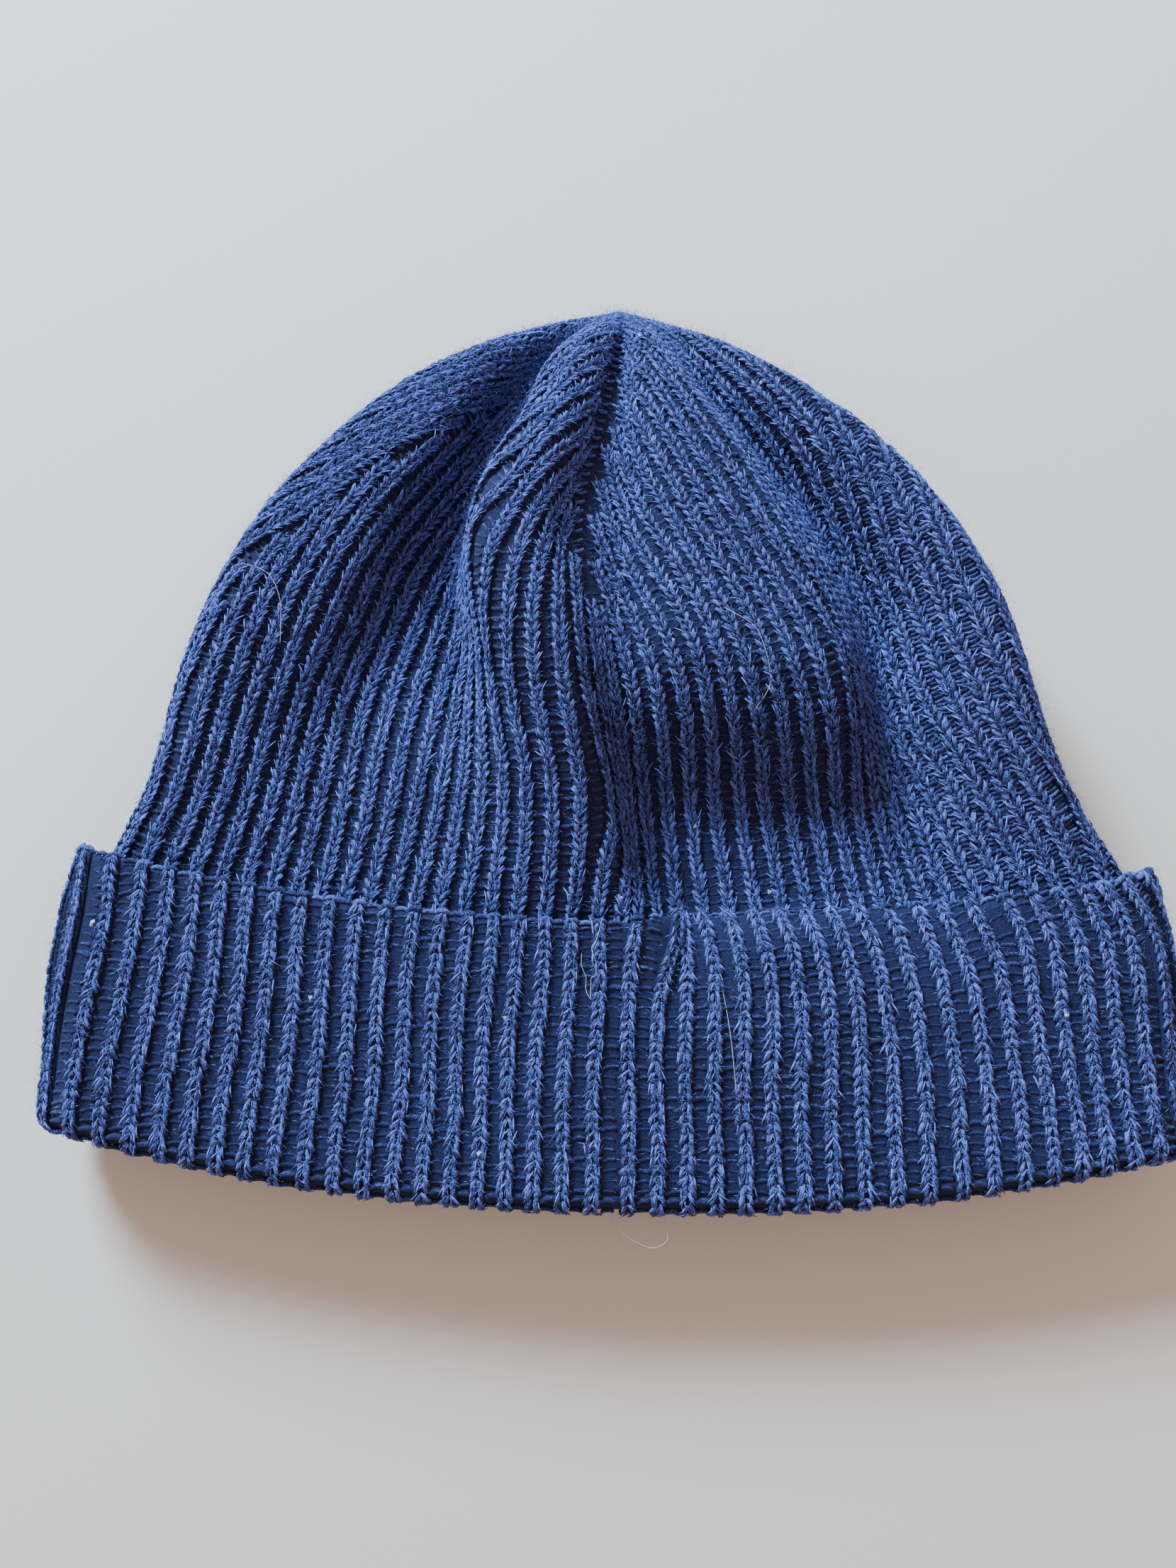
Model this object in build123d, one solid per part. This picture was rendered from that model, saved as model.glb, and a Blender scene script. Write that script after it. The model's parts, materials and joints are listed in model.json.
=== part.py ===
from build123d import *
import os

# A ribbed knit beanie with a turned-up cuff, lying flattened on its back half.
# Millimetres. +Z up, +X across the hat, +Y from the cuff's fold to the crown.
# Origin: the middle of the hat's footprint, on the surface it lies on.

os.makedirs("parts", exist_ok=True)

# ---- driving dimensions -------------------------------------------------------------------
HAT_LENGTH = 211.0       # fold of the cuff to the top of the crown
CUFF_WIDTH = 238.0       # flattened width over the cuff
CUFF_HEIGHT = 60.0       # fold to hem, at the middle of the front
FABRIC = 4.0             # thickness of one ply of ribbed knit
PLY_GAP = 0.4            # air between the cuff and the body it is turned up over
MOUTH_GAP = 7.0          # air between the front and the back of the flattened body
DOME_HEIGHT = 36.0       # top of the puffed body above the surface
RIM_HEIGHT = 28.0        # top of the rolled fold along each side of the body
FOLD_SAG = 7.8           # how far the fold's ends lie nearer the crown than its middle
HEM_SAG = 13.0           # the same for the hem
YARN_RADIUS = 0.8        # linking thread of the darts, the back seam and the crown
RUNNING_CLEARANCE = 0.3  # between the turning parts of the cuff and what they pass

# ---- heights of the four plies, from the surface up ------------------------------------------
BACK_CUFF_Z = 0.0
BACK_BODY_Z = BACK_CUFF_Z + FABRIC + PLY_GAP
CAVITY_Z = BACK_BODY_Z + FABRIC
FRONT_BODY_Z = CAVITY_Z + MOUTH_GAP
FRONT_CUFF_Z = FRONT_BODY_Z + FABRIC + PLY_GAP
CUFF_TOP_Z = FRONT_CUFF_Z + FABRIC

# ---- the fold, which is the line that the cuff turns about -----------------------------------
FOLD_RADIUS = FABRIC + PLY_GAP / 2
FOLD_Y = -HAT_LENGTH / 2 + FOLD_RADIUS
FRONT_HINGE_Z = FRONT_CUFF_Z - PLY_GAP / 2
BACK_HINGE_Z = BACK_BODY_Z - PLY_GAP / 2
FOLD_ROLL_LENGTH = 150.0
HEM_Y = FOLD_Y - FOLD_RADIUS + CUFF_HEIGHT
HEM_END_Y = HEM_Y + HEM_SAG

# ---- the sides --------------------------------------------------------------------------------
SIDE_OUTER_X = CUFF_WIDTH / 2
SIDE_HINGE_X = SIDE_OUTER_X - FABRIC - PLY_GAP / 2
SIDE_HINGE_Y = FOLD_Y + 4.8
SIDE_Z_MARGIN = 1.5
BODY_SIDE_X = SIDE_HINGE_X - PLY_GAP / 2
PANEL_EDGE_X = BODY_SIDE_X - FABRIC - RUNNING_CLEARANCE

# ---- the body above the cuff ------------------------------------------------------------------
CROWN_Y = HAT_LENGTH / 2
BELL_START_Y = -34.0
BELL_HALF_WIDTH = 108.5
BELL_POWER = 1.5
MOUTH_Y = FOLD_Y + FOLD_RADIUS + RUNNING_CLEARANCE
MOUTH_SAG = 7.0
BODY_END_Y = CROWN_Y - 2 * YARN_RADIUS
EDGE_RADIUS = 6.5
CROWN_TIE_RADIUS = 4.0


def half_width(y):
    """Half the body's width: a straight taper under the cuff, then the bell of the crown."""
    if y <= BELL_START_Y:
        share = (BELL_START_Y - y) / (BELL_START_Y - MOUTH_Y)
        return BELL_HALF_WIDTH + (BODY_SIDE_X - BELL_HALF_WIDTH) * share
    share = (y - BELL_START_Y) / (CROWN_Y - BELL_START_Y)
    return BELL_HALF_WIDTH * (1 - share**BELL_POWER) ** 0.5


def body_profile():
    """Stations from mouth to crown: y, underside z, side height z, middle height z."""
    top = FRONT_BODY_Z + FABRIC
    return [
        (MOUTH_Y, BACK_BODY_Z, top - 0.2, top),
        (BELL_START_Y, BACK_BODY_Z, top - 0.2, top),
        (BELL_START_Y + 26, 0.0, RIM_HEIGHT - 5, DOME_HEIGHT - 6),
        (18.0, 0.0, RIM_HEIGHT, DOME_HEIGHT),
        (48.0, 0.0, RIM_HEIGHT, DOME_HEIGHT),
        (74.0, 0.0, RIM_HEIGHT - 2, DOME_HEIGHT - 4),
        (93.0, 0.0, RIM_HEIGHT - 6, DOME_HEIGHT - 10),
        (BODY_END_Y, 1.0, RIM_HEIGHT - 12, DOME_HEIGHT - 18),
    ]


def body_section(y, low, side, top, inset):
    """One cross-section of the body, drawn inset from its outer face."""
    reach = half_width(y) - inset
    radius = min(EDGE_RADIUS, reach / 2)
    low = low + inset
    side = side - inset
    top = top - inset
    corner = reach - radius
    with BuildSketch(Plane.XZ.offset(-y)) as section:
        with BuildLine():
            Line((-corner, low), (corner, low))
            ThreePointArc((corner, low), (reach, (low + side) / 2), (corner, side))
            ThreePointArc((corner, side), (0, top), (-corner, side))
            ThreePointArc((-corner, side), (-reach, (low + side) / 2), (-corner, low))
        make_face()
    return section.sketch


def body_knit():
    """The knitted tube, closed at the crown and open at the mouth, with the space for a head."""
    stations = body_profile()
    outer = loft([body_section(*station, 0.0) for station in stations], ruled=True)
    inner_stations = stations[:-1] + [(CROWN_Y - 8.0, 0.5, RIM_HEIGHT - 10, DOME_HEIGHT - 16)]
    inner = loft([body_section(*station, FABRIC) for station in inner_stations], ruled=True)
    shell = outer - inner
    with BuildSketch() as plan:
        with BuildLine():
            end = SIDE_OUTER_X + 10
            Line((-end, CROWN_Y + 10), (end, CROWN_Y + 10))
            Line((end, CROWN_Y + 10), (end, MOUTH_Y + MOUTH_SAG))
            ThreePointArc((end, MOUTH_Y + MOUTH_SAG), (0, MOUTH_Y), (-end, MOUTH_Y + MOUTH_SAG))
            Line((-end, MOUTH_Y + MOUTH_SAG), (-end, CROWN_Y + 10))
        make_face()
    keep = extrude(plan.sketch, amount=2 * DOME_HEIGHT)
    return shell & keep


def cuff_panel(low_z, hinge_z):
    """The front or the back of the cuff: a flat ply with the roll of its fold along one edge."""
    with BuildSketch(Plane.XY.offset(low_z)) as plan:
        with BuildLine():
            fold_end = FOLD_Y + FOLD_SAG
            ThreePointArc((-PANEL_EDGE_X, fold_end), (0, FOLD_Y), (PANEL_EDGE_X, fold_end))
            Line((PANEL_EDGE_X, fold_end), (PANEL_EDGE_X, HEM_END_Y))
            ThreePointArc((PANEL_EDGE_X, HEM_END_Y), (0, HEM_Y), (-PANEL_EDGE_X, HEM_END_Y))
            Line((-PANEL_EDGE_X, HEM_END_Y), (-PANEL_EDGE_X, fold_end))
        make_face()
    ply = extrude(plan.sketch, amount=FABRIC)
    roll = Cylinder(FOLD_RADIUS, FOLD_ROLL_LENGTH, rotation=(0, 90, 0))
    return ply + Pos(0, FOLD_Y, hinge_z) * roll


def cuff_side(direction):
    """One side of the cuff: an upright ply that joins front to back, and the roll of its fold."""
    height = CUFF_TOP_Z - 2 * SIDE_Z_MARGIN
    length = HEM_END_Y - SIDE_HINGE_Y
    middle_x = SIDE_HINGE_X + PLY_GAP / 2 + FABRIC / 2
    ply = Box(FABRIC, length, height)
    ply = fillet(ply.edges().filter_by(Axis.Y), FABRIC * 0.4)
    ply = Pos(direction * middle_x, HEM_END_Y - length / 2, CUFF_TOP_Z / 2) * ply
    roll = Cylinder(FOLD_RADIUS, height)
    return ply + Pos(direction * SIDE_HINGE_X, SIDE_HINGE_Y, CUFF_TOP_Z / 2) * roll


def surface_z(x, y):
    """Height of the body's upper face, between the two stations that y lies between."""
    stations = body_profile()
    for before, after in zip(stations, stations[1:]):
        if before[0] <= y <= after[0]:
            share = (y - before[0]) / (after[0] - before[0])
            side = before[2] + (after[2] - before[2]) * share
            top = before[3] + (after[3] - before[3]) * share
            reach = half_width(y) - min(EDGE_RADIUS, half_width(y) / 2)
            return side + (top - side) * (1 - min(1.0, abs(x) / reach) ** 2)
    raise ValueError("outside the body")


def thread(points):
    """A linking thread: a round yarn along a gently curved route."""
    route = FilletPolyline(*points, radius=6.0)
    return sweep(Plane(route ^ 0) * Circle(YARN_RADIUS), path=route)


def dart_thread(start_share, end_share, end_y):
    """A dart on the upper face. Shares of the half-width say how far out each end lies."""
    start_y = CROWN_Y - 6.0
    points = []
    for step in range(5):
        share = step / 4
        y = start_y + (end_y - start_y) * share
        x = half_width(y) * (start_share + (end_share - start_share) * share**0.7)
        points.append((x, y, surface_z(x, y)))
    return thread(points)


def back_dart():
    """The dart in the middle of the back, sunk in the ply that lies on the surface."""
    z = FABRIC / 2
    return thread([(0, CROWN_Y - 8, z), (1.5, 75, z), (0, 52, z), (0.8, 30, z)])


def back_seam():
    """The seam that closes the knitted tube, sunk in the back ply from the dart to the mouth."""
    flat = FABRIC / 2
    raised = BACK_BODY_Z + FABRIC / 2
    return thread([
        (0, 27, flat),
        (-1, BELL_START_Y + 26, flat),
        (0, BELL_START_Y, raised),
        (-1, BELL_START_Y - 30, raised),
        (0, MOUTH_Y + 1, raised),
    ])


def crown_tie():
    """The gathering yarn that draws the crown shut, a ring on the top of the crown."""
    middle_z = (1.0 + DOME_HEIGHT - 18) / 2
    ring = Torus(CROWN_TIE_RADIUS, YARN_RADIUS, rotation=(90, 0, 0))
    return Pos(0, CROWN_Y - YARN_RADIUS, middle_z) * ring


NODES = {
    "body_knit": body_knit(),
    "cuff_front": cuff_panel(FRONT_CUFF_Z, FRONT_HINGE_Z),
    "cuff_back": cuff_panel(BACK_CUFF_Z, BACK_HINGE_Z),
    "cuff_left": cuff_side(-1),
    "cuff_right": cuff_side(1),
    "dart_seam_front": dart_thread(-0.05, -0.02, 28.0),
    "dart_seam_left": dart_thread(-0.35, -0.62, 44.0),
    "dart_seam_right": dart_thread(0.45, 0.88, 40.0),
    "dart_seam_back": back_dart(),
    "back_seam": back_seam(),
    "crown_tie": crown_tie(),
}

for name, shape in NODES.items():
    export_step(shape, f"parts/{name}.step")

print("front hinge y, z:", FOLD_Y, FRONT_HINGE_Z, "back hinge z:", BACK_HINGE_Z)
print("side hinge x, y:", SIDE_HINGE_X, SIDE_HINGE_Y)
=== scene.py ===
import json
import math

import bpy
import numpy as np
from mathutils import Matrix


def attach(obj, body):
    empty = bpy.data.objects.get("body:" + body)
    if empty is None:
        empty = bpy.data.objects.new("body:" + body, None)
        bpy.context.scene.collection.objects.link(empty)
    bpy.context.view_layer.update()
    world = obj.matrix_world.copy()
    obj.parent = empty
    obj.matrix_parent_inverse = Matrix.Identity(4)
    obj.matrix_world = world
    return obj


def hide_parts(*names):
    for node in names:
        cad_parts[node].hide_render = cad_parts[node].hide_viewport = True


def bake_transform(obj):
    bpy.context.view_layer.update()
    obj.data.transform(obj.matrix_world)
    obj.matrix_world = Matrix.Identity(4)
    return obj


# A navy ribbed beanie lying collapsed on its back, its cuff turned up. Every stitch is built: the
# script works out the folded fabric as a stack of closed rings, runs the knit columns (wales)
# along it, and sets a V of two yarn strokes for each stitch. Lengths here are in millimetres, and
# add_piece turns them into metres.

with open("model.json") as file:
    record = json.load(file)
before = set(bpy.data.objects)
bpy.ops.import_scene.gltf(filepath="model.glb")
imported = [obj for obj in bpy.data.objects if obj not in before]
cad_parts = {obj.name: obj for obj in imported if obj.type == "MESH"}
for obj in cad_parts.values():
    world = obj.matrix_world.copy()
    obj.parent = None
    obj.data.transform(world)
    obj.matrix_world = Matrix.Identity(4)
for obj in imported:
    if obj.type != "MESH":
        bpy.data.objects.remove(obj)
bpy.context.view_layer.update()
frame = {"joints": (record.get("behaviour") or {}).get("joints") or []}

# ---- driving values ----
WALES = 84               # knit columns round the hat on each face of the rib
DARTS = 4                # they draw the crown in, a quarter of the wales apart
COURSE = 1.95            # height of one stitch
PLY_STEP = 4.4           # from the middle of the body's ply to the middle of the cuff's
HALF_SHEET = 0.55        # half the thickness of the cloth between the ribs
RIB_SIZE = (2.9, 1.7)    # across and high, of the padding under each knit column
THIN_RIB_SIZE = (2.0, 1.0)
RIB_RISE = 0.45          # of that padding above the middle of the cloth
RIB_STEP = 3.0           # along it, from one ring of its points to the next, on the body
HEM_V = -47.0            # how far up the hem reaches, on the middle of the front
SMILE_DEPTH = 13.5       # how much nearer the crown the fold's ends lie than its middle
SMILE_REACH = 113.0      # how far from the middle they lie
RING_POINTS = 480        # points on each ring
FRONT_POINTS = 240       # points of a ring's outline over the front, before they are spaced evenly
SIDE_POINTS = 38
BACK_POINTS = 200
RING_STEP = 1.6          # from ring to ring below the crown
CROWN_RINGS = 19
MOUTH_ROWS = 16          # rows of the cloth inside the mouth, a ring apart
FOLD_ROWS = 9            # rows of it round the fold
ROUNDED = 1.8            # how far each ring's corners are rounded
EVEN_OUT = 9             # rings over which a wale's line is evened out
SEED = 7

# ---- places read from the frame ----
UP = np.array([0.0, 0.0, 1.0])


def joint_place(name):
    """Where a joint's axis passes, in millimetres."""
    joint = next(joint for joint in frame["joints"] if joint["name"] == name)
    return np.array(joint["pos_m"], float) * 1000


FOLD_V = joint_place("cuff_turn")[1]
BACK_Z = joint_place("cuff_turn_back")[2] + PLY_STEP / 2
SIDE_X = joint_place("cuff_turn_right")[0]
FLOOR_PLY_Z = 2.0


# ---- small maths ----
def smoothstep(low, high, value):
    share = np.clip((value - low) / (high - low), 0.0, 1.0)
    return share * share * (3 - 2 * share)


def unit(vectors):
    length = np.linalg.norm(vectors, axis=-1, keepdims=True)
    return vectors / np.maximum(length, 1e-9)


def length_along(line):
    """How far along a line each of its points lies."""
    return np.concatenate([[0], np.cumsum(np.linalg.norm(np.diff(line, axis=0), axis=1))])


def curve_through(xs, ys, at):
    """A smooth curve through points, which never swings past them."""
    xs = np.asarray(xs, float)
    ys = np.asarray(ys, float)
    step = np.diff(xs)
    slope = np.diff(ys) / step
    tangent = np.zeros(len(xs))
    tangent[0] = slope[0]
    tangent[-1] = slope[-1]
    for i in range(1, len(xs) - 1):
        if slope[i - 1] * slope[i] > 0:
            before = 2 * step[i] + step[i - 1]
            after = step[i] + 2 * step[i - 1]
            tangent[i] = (before + after) / (before / slope[i - 1] + after / slope[i])
    at = np.clip(at, xs[0], xs[-1])
    i = np.clip(np.searchsorted(xs, at, side="right") - 1, 0, len(xs) - 2)
    t = (at - xs[i]) / step[i]
    start = (1 + 2 * t) * (1 - t) ** 2 * ys[i] + t * (1 - t) ** 2 * step[i] * tangent[i]
    end = t * t * (3 - 2 * t) * ys[i + 1] + t * t * (t - 1) * step[i] * tangent[i + 1]
    return start + end


def smooth_ring(points, spread):
    """Rounds a closed line of evenly spaced points, by a bell of that many points."""
    wave = np.fft.rfftfreq(len(points))
    keep = np.exp(-2 * (math.pi * spread * wave) ** 2)
    return np.fft.irfft(np.fft.rfft(points, axis=0) * keep[:, None], n=len(points), axis=0)


# ---- the shape that the empty hat has fallen into ----
# Each fold line runs from the mouth to the crown through a few places: how far up the hat (v),
# how far across (-1 at the left side, 1 at the right), and how high the front ply is there.
FOLD_LINES = {
    "left band, inner edge": [
        (-50, -0.80, 17.4), (-30, -0.80, 18.5), (0, -0.75, 21.5), (20, -0.70, 23.5),
        (40, -0.66, 24.0), (60, -0.63, 23.5), (80, -0.60, 20.0), (100, -0.55, 14.0)],
    "left hollow, outer edge": [
        (-50, -0.62, 17.4), (-22, -0.60, 17.0), (-5, -0.57, 15.0), (15, -0.53, 13.0),
        (40, -0.52, 12.0), (60, -0.50, 13.0), (80, -0.48, 14.5), (100, -0.45, 13.5)],
    "left hollow, inner edge": [
        (-50, -0.40, 17.4), (-22, -0.38, 17.5), (-5, -0.35, 15.0), (10, -0.34, 12.0),
        (30, -0.39, 10.5), (51, -0.375, 11.5), (66, -0.32, 13.5), (83, -0.36, 14.5),
        (100, -0.36, 13.5)],
    "ridge, left edge": [
        (-50, -0.02, 17.8), (-36, -0.05, 21.0), (-25, -0.10, 24.0), (-13, -0.14, 27.5),
        (-2, -0.18, 30.5), (10, -0.235, 33.0), (19, -0.277, 34.5), (30, -0.312, 35.0),
        (39, -0.32, 35.0), (51, -0.295, 33.5), (66, -0.23, 30.5), (83, -0.25, 24.5),
        (100, -0.22, 15.5)],
    "ridge, right edge": [
        (-50, 0.0, 17.6), (-36, -0.005, 20.5), (-25, -0.03, 25.0), (-13, -0.05, 29.5),
        (-2, -0.08, 33.5), (10, -0.12, 36.5), (19, -0.16, 37.0), (30, -0.19, 37.0),
        (39, -0.185, 36.5), (51, -0.15, 34.5), (66, -0.10, 31.0), (83, -0.08, 25.5),
        (100, -0.06, 15.5)],
    "front dart": [
        (-50, 0.03, 17.4), (-36, 0.03, 14.0), (-25, 0.02, 14.5), (-13, 0.015, 20.0),
        (-2, 0.0, 26.0), (10, -0.01, 28.5), (19, -0.03, 29.5), (33, -0.10, 30.0),
        (42, -0.087, 28.5), (59, -0.02, 26.0), (79, 0.045, 21.5), (100, 0.02, 15.0)],
    "front valley": [
        (-64, 0.075, 17.4), (-50, 0.075, 13.0), (-44, 0.075, 10.5), (-24, 0.075, 10.0),
        (-12, 0.065, 17.0), (-2, 0.05, 24.0), (10, 0.045, 26.5), (19, 0.05, 25.0),
        (32, 0.045, 26.0), (42, 0.07, 25.5), (58, 0.10, 24.0), (79, 0.14, 20.0),
        (100, 0.10, 14.5)],
    "puffed panel, left edge": [
        (-64, 0.12, 17.4), (-50, 0.12, 12.5), (-44, 0.12, 9.8), (-24, 0.12, 9.5),
        (-12, 0.13, 18.0), (-2, 0.14, 26.5), (10, 0.15, 30.0), (20, 0.16, 29.5),
        (50, 0.20, 27.5), (70, 0.22, 25.0), (88, 0.22, 20.5), (100, 0.22, 15.0)],
    "puffed panel, right edge": [
        (-64, 0.50, 17.4), (-50, 0.50, 12.5), (-44, 0.50, 9.8), (-24, 0.51, 9.5),
        (-12, 0.52, 17.5), (-2, 0.53, 25.5), (10, 0.52, 29.0), (20, 0.50, 28.5),
        (50, 0.44, 27.0), (70, 0.38, 25.0), (88, 0.34, 20.5), (100, 0.35, 15.0)],
    "right valley": [
        (-64, 0.62, 17.4), (-50, 0.62, 13.0), (-42, 0.617, 10.0), (-16, 0.645, 9.0),
        (0, 0.665, 10.5), (15, 0.69, 12.0), (30, 0.68, 14.0), (45, 0.645, 15.5),
        (61, 0.59, 17.0), (73, 0.535, 17.5), (88, 0.49, 17.5), (100, 0.50, 14.0)],
    "right band, middle": [
        (-50, 0.74, 17.4), (-38, 0.735, 15.0), (-16, 0.77, 18.5), (8, 0.80, 24.0),
        (31, 0.79, 27.0), (50, 0.76, 28.0), (61, 0.73, 27.0), (73, 0.70, 25.0),
        (88, 0.68, 20.5), (100, 0.70, 14.5)],
}
LEFT_RIM = [(-50, 17.4), (-35, 18.5), (-10, 22.0), (20, 25.0), (60, 25.5), (82, 22.5),
            (92, 19.0), (102, 14.0)]
RIGHT_RIM = [(-50, 17.4), (-38, 19.5), (-15, 25.0), (15, 32.0), (45, 34.0), (70, 29.0),
             (82, 24.0), (92, 18.5), (102, 14.0)]
MOUTH_X = SIDE_X - PLY_STEP / 2 - 1.1
TIP_V = 100.5
TIP_X = -1.0
# Where the middle of the cloth turns under, at each side: how far up the hat, how far across.
LEFT_SIDE = [(FOLD_V, -MOUTH_X), (-48, -107.5), (-40, -104.5), (-30, -102), (-10, -98.5), (5, -95.8),
             (22, -90.5), (41, -81.5), (60, -66.5), (76, -49.5), (86, -33), (92, -21.5),
             (96.5, -12), (TIP_V, TIP_X)]
RIGHT_SIDE = [(FOLD_V, MOUTH_X), (-48, 107.5), (-40, 103), (-28, 98.5), (-10, 92), (5, 87),
              (23, 81), (41, 70.5), (59, 56), (69, 45.5), (79, 34), (88, 23), (93, 14.5),
              (97, 7), (TIP_V, TIP_X)]
CROWN_ROUND_V = 80.0     # above this the crown closes like the end of an egg
CROWN_MIDDLE_Z = 7.5


def line_at(points, v, value=1):
    """The value of a line of given points at v."""
    return float(curve_through([p[0] for p in points], [p[value] for p in points], v))


def ring_reach(v):
    """The middle of the ring at v, and half its width."""
    left = line_at(LEFT_SIDE, v)
    right = line_at(RIGHT_SIDE, v)
    return (left + right) / 2, (right - left) / 2


def ring_outline(v):
    """The ring at v as a closed line of (x, z), round from the left side's top over the front,
    and where on it the front dart crosses."""
    centre, half = ring_reach(v)
    left_z = line_at(LEFT_RIM, v)
    right_z = line_at(RIGHT_RIM, v)
    low_z = FLOOR_PLY_Z + (BACK_Z - FLOOR_PLY_Z) * smoothstep(-22, -44, v)
    round_x = min(5.5 + 2.5 * smoothstep(-45, 0, v), half * 0.45)
    end = half - round_x
    knots = [(-end, left_z)]
    for line in FOLD_LINES.values():
        x = min(max(half * line_at(line, v), knots[-1][0] + 0.04 * half), end * 0.95)
        if x > knots[-1][0] + 0.01 * half:
            knots.append((x, line_at(line, v, 2)))
    knots.append((end, right_z))
    front_x = np.linspace(-end, end, FRONT_POINTS)
    front_z = curve_through(*zip(*knots), front_x)
    turn = np.linspace(0, math.pi, SIDE_POINTS + 2)[1:-1]
    right_x = end + round_x * np.sin(turn)
    right_side = (right_z + low_z) / 2 + (right_z - low_z) / 2 * np.cos(turn)
    left_side = (left_z + low_z) / 2 - (left_z - low_z) / 2 * np.cos(turn)
    xs = np.concatenate([front_x, right_x, np.linspace(end, -end, BACK_POINTS), -right_x])
    zs = np.concatenate([front_z, right_side, np.full(BACK_POINTS, low_z), left_side])
    if v > CROWN_ROUND_V:
        squeeze = math.sqrt(max(0.02, 1 - ((v - CROWN_ROUND_V) / (TIP_V - CROWN_ROUND_V)) ** 2))
        zs = CROWN_MIDDLE_Z + (zs - CROWN_MIDDLE_Z) * squeeze
    dart_x = half * line_at(FOLD_LINES["front dart"], v)
    return xs + centre, zs, int(np.argmin(np.abs(front_x - dart_x)))


def even_ring(v):
    """The ring at v as evenly spaced points in 3-D, which start at the front dart's line."""
    xs, zs, start = ring_outline(v)
    line = np.stack([np.roll(xs, -start), np.roll(zs, -start)], axis=1)
    line = np.concatenate([line, line[:1]])
    along = length_along(line)
    at = np.linspace(0, along[-1], RING_POINTS, endpoint=False)
    even = np.stack([np.interp(at, along, line[:, i]) for i in (0, 1)], axis=1)
    spread = min(ROUNDED / (along[-1] / RING_POINTS), RING_POINTS / 24)
    even = smooth_ring(even, spread)
    smile = SMILE_DEPTH * smoothstep(-5, -47, v) * (np.abs(even[:, 0]) / SMILE_REACH) ** 2.3
    return np.stack([even[:, 0], v + smile, even[:, 1]], axis=1)


def ring_stations():
    """Where the rings are: evenly up the hat, then closer together as the crown rounds over."""
    straight = np.arange(FOLD_V, CROWN_ROUND_V, RING_STEP)
    turn = np.linspace(0, math.pi / 2 * 0.95, CROWN_RINGS + 1)[1:]
    return np.concatenate([straight, straight[-1] + (TIP_V - straight[-1]) * np.sin(turn)])


def smooth_along(rings, times):
    """Evens the rings out from the mouth to the crown, less and less as the crown rounds over,
    and keeps the first and the last."""
    for turn in range(times):
        calm = 1.0 if turn < 3 else smoothstep(92, 78, STATIONS)[1:-1, None, None]
        even = (rings[:-2] + 2 * rings[1:-1] + rings[2:]) / 4
        inner = rings[1:-1] * (1 - calm) + even * calm
        rings = np.concatenate([rings[:1], inner, rings[-1:]])
    return rings


STATIONS = ring_stations()
RINGS = smooth_along(np.array([even_ring(v) for v in STATIONS]), times=12)


def ring_lengths():
    closed = np.concatenate([RINGS, RINGS[:, :1]], axis=1)
    return np.linalg.norm(np.diff(closed, axis=1), axis=2).sum(axis=1)


def ring_normals():
    """The way out of the fabric at each point of each ring."""
    across = np.roll(RINGS, -1, axis=1) - np.roll(RINGS, 1, axis=1)
    upward = np.gradient(RINGS, axis=0)
    return unit(np.cross(across, upward))


LENGTHS = ring_lengths()
NORMALS = ring_normals()

# ---- wales: where each knit column runs ----
QUARTER = WALES // DARTS
# Each dart takes in wales on both its sides, not evenly: front, right, back, left.
RIGHT_OF_DART = (1.7, 0.7, 0.8, 1.4)
LEFT_OF_DART = (1.7, 0.3, 0.7, 0.7)
# How many wales an ordinary side of a dart has taken in, on the way up the hat.
TAKEN_IN = [(5, 0), (18, 0.3), (31, 0.95), (50, 2.2), (73, 4.2), (90, 6.0), (TIP_V, 7.6)]
TAKEN = np.array([line_at(TAKEN_IN, v) for v in STATIONS])


def even_on_cuff():
    """Shares of the way round the cuff, which lies outside the body, for even shares of a ring
    of the body under it."""
    row = int(np.searchsorted(STATIONS, -75))
    ring = RINGS[row] + NORMALS[row] * PLY_STEP
    along = length_along(np.concatenate([ring, ring[:1]]))
    return along / along[-1], np.linspace(0, 1, RING_POINTS + 1)


CUFF_ALONG, BODY_ALONG = even_on_cuff()


def shift_to_cuff(share):
    """How much further round the body a cuff's line lies than an even share would put it."""
    turns = np.floor(share)
    return np.interp(share - turns, CUFF_ALONG, BODY_ALONG) + turns - share


def ring_shares(q):
    """For a line at q wales from the front dart: its share of the way round each ring, and
    whether it is still there or a dart has taken it in."""
    q = q % WALES
    dart = int(q // QUARTER)
    left = [np.maximum(QUARTER - TAKEN * (RIGHT_OF_DART[i] + LEFT_OF_DART[(i + 1) % DARTS]), 0.3)
            for i in range(DARTS)]
    inside = q - dart * QUARTER - TAKEN * RIGHT_OF_DART[dart]
    alive = (inside > 0) & (inside < left[dart])
    place = sum(left[:dart]) + np.clip(inside, 0, left[dart])
    wander = 0.9 * np.sin(q / 3.1 + STATIONS / 37) + 0.5 * np.sin(q / 1.7 - STATIONS / 19 + 1)
    calm = smoothstep(95, 60, STATIONS)
    shares = place / sum(left) + wander * calm / LENGTHS
    shares = shares + shift_to_cuff(shares) * smoothstep(-48, -85, STATIONS)
    return shares + straighten(shares), alive


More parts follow.
